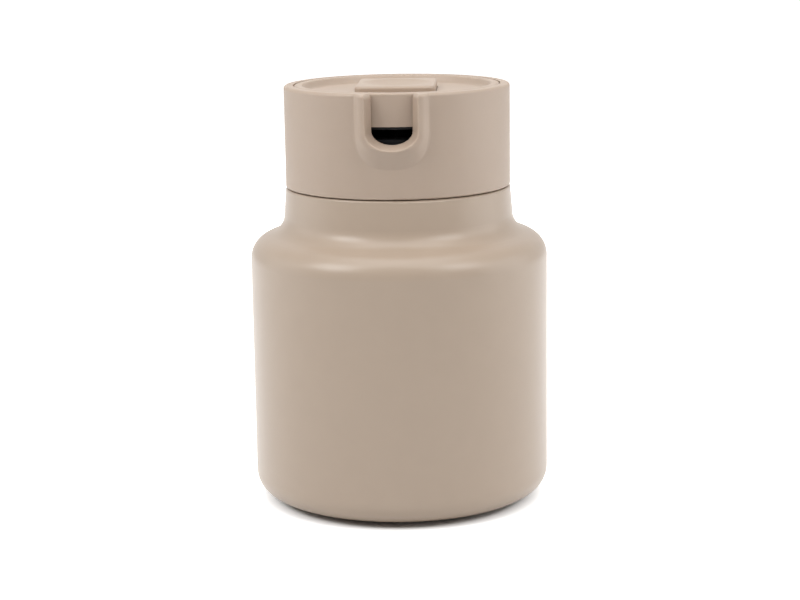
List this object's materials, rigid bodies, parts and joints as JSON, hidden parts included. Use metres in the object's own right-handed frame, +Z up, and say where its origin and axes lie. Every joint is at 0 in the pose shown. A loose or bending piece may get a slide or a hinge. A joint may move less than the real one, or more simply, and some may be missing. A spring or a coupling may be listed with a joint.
{
  "type": "thermal jug",
  "caption": "Squat double-walled steel jug with a plastic pouring collar, a lipped notch spout and a lift-out stopper with a press-to-pour button.",
  "frame": {"origin": "on the jug's axis, on the surface that it stands on", "axes": "+Z up along the jug's axis, -Y towards the spout"},
  "size_m": [0.1224, 0.1224, 0.1718],
  "materials": {
    "shell_paint": "satin powder coat, warm beige",
    "collar_plastic": "fine matte moulding, warm beige",
    "dark_plastic": "matte black moulding",
    "pale_plastic": "natural acetal",
    "soft_black": "black silicone",
    "steel": "stainless steel"
  },
  "bodies": {
    "vessel": {"outer_shell": "shell_paint", "shell_base": "shell_paint", "shell_shoulder": "shell_paint", "inner_liner": "steel", "liner_base": "steel", "liner_neck": "steel", "base_plate": "steel", "vacuum_seal_plug": "steel", "getter_capsule": "steel", "foot_ring": "soft_black", "neck_gasket": "soft_black", "collar_sleeve": "dark_plastic", "spout_collar": "collar_plastic"},
    "stopper": {"stopper_body": "dark_plastic", "stopper_gasket": "soft_black", "lid_cover": "collar_plastic", "cover_screws": "steel", "stem_bush": "pale_plastic", "stem_o_ring": "soft_black", "return_spring": "steel"},
    "button": {"push_button": "collar_plastic", "valve_stem": "steel", "valve_plug": "dark_plastic", "valve_seal": "soft_black", "plug_washer": "steel", "plug_nut": "steel"}
  },
  "joints": [
    {"name": "stopper_lift", "type": "slide", "parent": "vessel", "child": "stopper", "axis": [0, 0, 1], "range_m": [0, 0.1]},
    {"name": "button_press", "type": "slide", "parent": "stopper", "child": "button", "axis": [0, 0, -1], "range_m": [0, 0.005], "stiffness_N_per_m": 600, "springref_m": -0.008, "deforming": ["return_spring"]}
  ]
}
